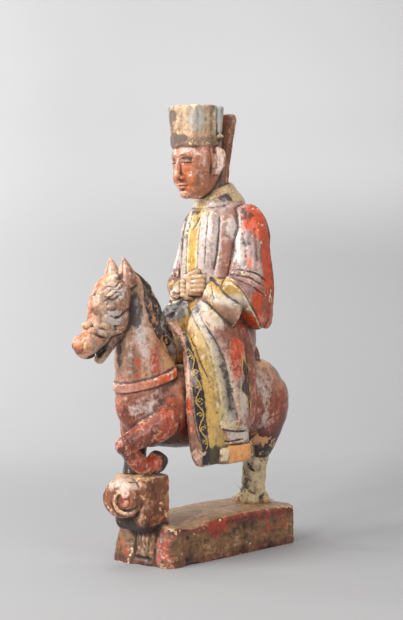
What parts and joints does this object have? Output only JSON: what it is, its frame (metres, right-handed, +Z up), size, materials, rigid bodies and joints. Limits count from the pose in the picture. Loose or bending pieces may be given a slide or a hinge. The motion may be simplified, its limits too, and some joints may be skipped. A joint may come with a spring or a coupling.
{
  "type": "carved wooden horseman figure",
  "caption": "Carved and lacquered wooden figure of a rider in a tall cap and long robe on a stepping horse, standing on its own wooden plinth.",
  "frame": {"origin": "middle of the plinth's flat underside", "axes": "+Z up, the horse and rider face -Y, +X to their left"},
  "size_m": [0.1561, 0.3693, 0.6],
  "materials": {
    "horse_and_rider": "worn red lacquer over gesso, chipped to the ground and the wood",
    "plinth": "worn dark red lacquer over brown wood"
  },
  "bodies": {
    "root": {"horse_and_rider": "horse_and_rider", "plinth": "plinth"}
  },
  "joints": []
}
